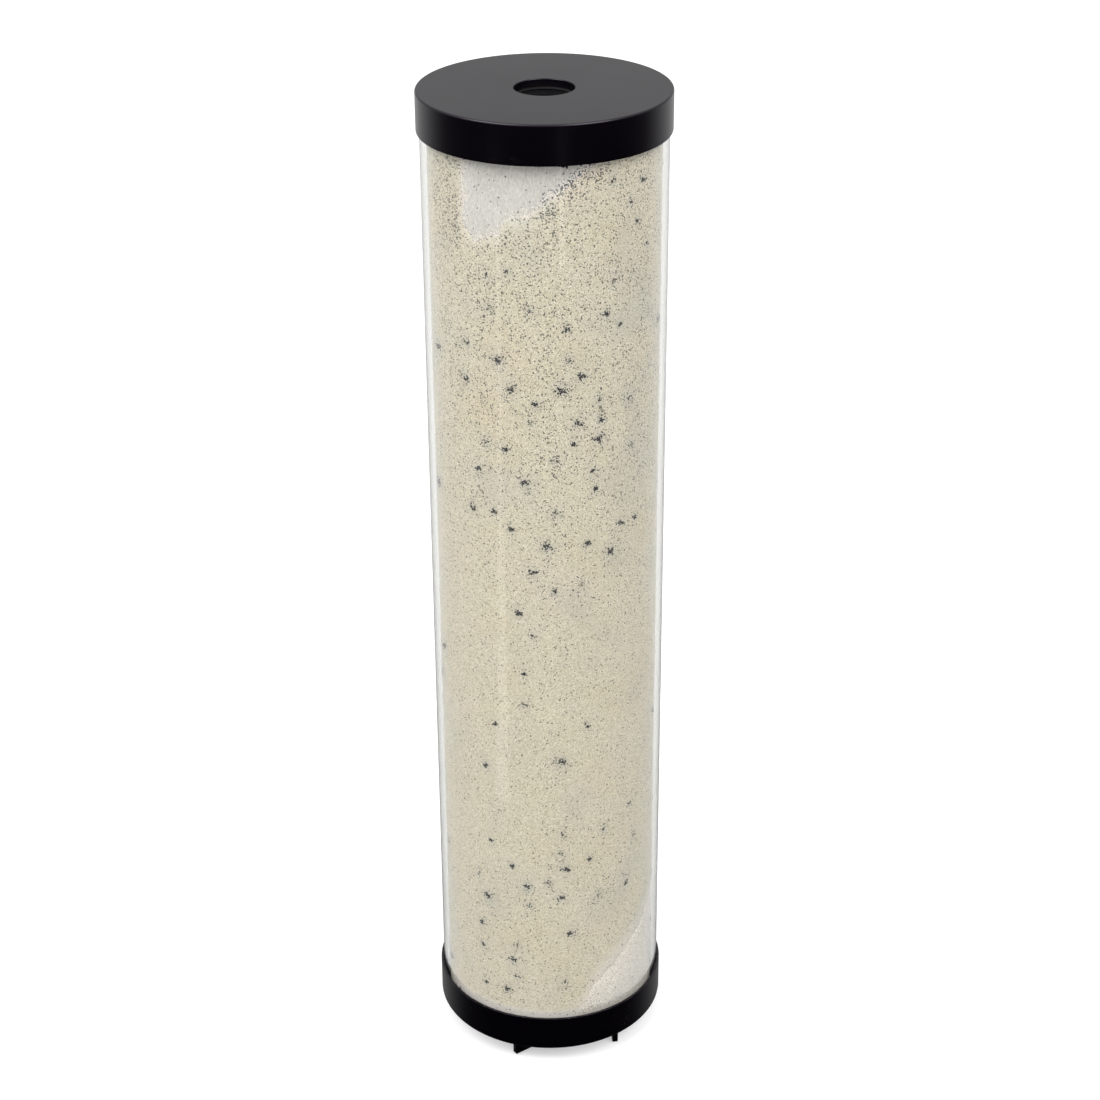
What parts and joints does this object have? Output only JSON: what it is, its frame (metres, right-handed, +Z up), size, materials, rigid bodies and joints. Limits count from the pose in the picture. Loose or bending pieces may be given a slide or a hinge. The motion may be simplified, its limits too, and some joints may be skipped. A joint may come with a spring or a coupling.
{
  "type": "resin filter cartridge",
  "caption": "Clear tube packed with cream resin beads between two black end caps, with a central outlet hole on top and inlet slots between thin ribs below.",
  "frame": {"origin": "centre of the box's base, on the floor under the cartridge's axis, at the level of the ribs' feet", "axes": "+Z up along the cartridge's axis, from the inlet to the outlet; -Y is the side that shows the turned-down fleece corner"},
  "size_m": [0.116, 0.116, 0.5],
  "materials": {
    "clear_plastic": "clear, glossy",
    "black_plastic": "black, semi-gloss, moulded",
    "inner_plastic": "natural white, moulded",
    "adhesive": "set black adhesive",
    "seal_rubber": "matt black rubber",
    "spring_steel": "bright drawn stainless wire",
    "filter_mesh": "fine white woven mesh",
    "fleece": "white needled fleece",
    "resin_beads": "packed cream beads with dark granules"
  },
  "bodies": {
    "cartridge": {"body_tube": "clear_plastic", "top_cap": "black_plastic", "bottom_cap": "black_plastic", "top_bond_ring": "adhesive", "bottom_bond_ring": "adhesive", "outlet_lip_seal": "seal_rubber", "seal_retainer": "black_plastic", "compression_spring": "spring_steel", "top_fleece_pad": "fleece", "resin_bed": "resin_beads", "bottom_fleece_pad": "fleece", "bottom_mesh_disc": "filter_mesh", "support_plate": "inner_plastic"},
    "bed_presser": {"pressure_plate": "inner_plastic", "plate_wiper_ring": "seal_rubber", "top_mesh_disc": "filter_mesh"}
  },
  "joints": [
    {"name": "bed_presser_slide", "type": "slide", "parent": "cartridge", "child": "bed_presser", "axis": [0, 0, 1], "range_m": [0, 0.003], "stiffness_N_per_m": 160, "springref_m": -0.02, "deforming": ["compression_spring"]}
  ]
}
